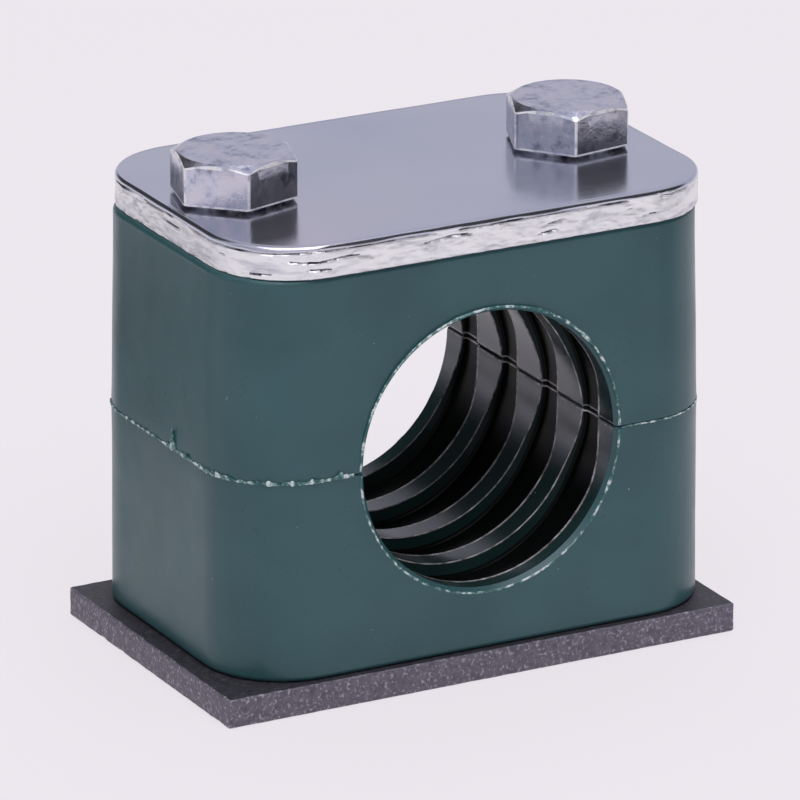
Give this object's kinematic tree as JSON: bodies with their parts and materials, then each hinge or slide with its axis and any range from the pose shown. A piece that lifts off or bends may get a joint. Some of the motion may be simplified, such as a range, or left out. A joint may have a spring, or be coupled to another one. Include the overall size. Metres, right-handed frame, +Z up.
{
  "type": "hydraulic tube clamp",
  "caption": "Split moulded tube clamp with a ribbed bore, held between a weld plate and a cover plate by two hex bolts.",
  "frame": {"origin": "centre of the weld plate's underside, the face that is welded to the mounting surface", "axes": "+X along the clamp's length through both bolts, +Y along the tube, +Z up along the bolts"},
  "size_m": [0.0492, 0.0316, 0.0455],
  "materials": {
    "green_plastic": "satin moulded, slightly grained",
    "zinc_plate": "zinc plated, sheared edges",
    "zinc_bolt": "zinc plated",
    "dark_steel": "dark phosphated, fine mottled"
  },
  "bodies": {
    "base": {"weld_plate": "dark_steel", "lower_half": "green_plastic"},
    "top": {"upper_half": "green_plastic", "cover_plate": "zinc_plate"},
    "left bolt": {"left_bolt": "zinc_bolt"},
    "right bolt": {"right_bolt": "zinc_bolt"}
  },
  "joints": [
    {"name": "upper lift", "type": "slide", "parent": "base", "child": "top", "axis": [0, 0, 1], "range_m": [0, 0.0045]},
    {"name": "left bolt turn", "type": "hinge", "parent": "top", "child": "left bolt", "pos_m": [-0.0165, 0, 0.0415], "axis": [0, 0, 1], "range_deg": [0, 1620]},
    {"name": "right bolt turn", "type": "hinge", "parent": "top", "child": "right bolt", "pos_m": [0.0165, 0, 0.0415], "axis": [0, 0, 1], "range_deg": [0, 1620]}
  ],
  "couplings": [
    {"joint": "left bolt turn", "follows": "upper lift", "rad_per_m": 6283.2},
    {"joint": "right bolt turn", "follows": "upper lift", "rad_per_m": 6283.2}
  ]
}
